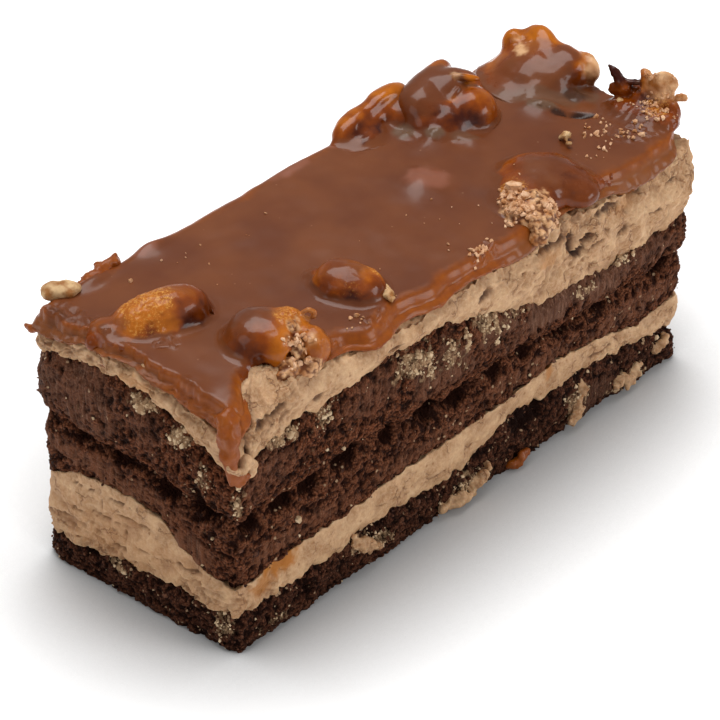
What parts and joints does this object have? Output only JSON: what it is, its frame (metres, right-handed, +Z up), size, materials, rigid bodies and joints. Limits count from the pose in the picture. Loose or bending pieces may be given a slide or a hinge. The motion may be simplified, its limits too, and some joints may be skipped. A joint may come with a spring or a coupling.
{
  "type": "layered chocolate and cream brownie slice",
  "caption": "Cut slice of layered chocolate brownie with coffee-coloured cream between the layers and a caramel glaze with nuts on top.",
  "frame": {"origin": "centre of the slice's plan, on the face it rests on", "axes": "+X along the slice's length, from the end with the thick lower cream to the end with the thick upper cream; +Y across it, away from the long side with the torn caramel; +Z up"},
  "size_m": [0.1172, 0.0456, 0.056],
  "materials": {
    "dark_sponge": "crumbly matte, nearly black brown",
    "brown_sponge": "crumbly matte chocolate brown",
    "cream": "soft matte beige",
    "caramel": "smooth soft gloss, milk-chocolate brown",
    "glazed_nut": "glossy orange-brown caramel over nut",
    "pale_nut": "matte pale nut"
  },
  "bodies": {
    "root": {"base_sponge": "dark_sponge", "lower_cream": "cream", "middle_sponge": "brown_sponge", "upper_sponge": "brown_sponge", "upper_cream": "cream", "caramel_glaze": "caramel", "nut_whole": "glazed_nut", "nut_broken": "glazed_nut", "nut_middle": "glazed_nut", "nut_back_edge": "glazed_nut", "nut_folded": "glazed_nut", "nut_crumbed": "glazed_nut", "nut_far_right": "glazed_nut", "nut_right_corner": "glazed_nut", "nut_half_pale": "pale_nut"}
  },
  "joints": []
}
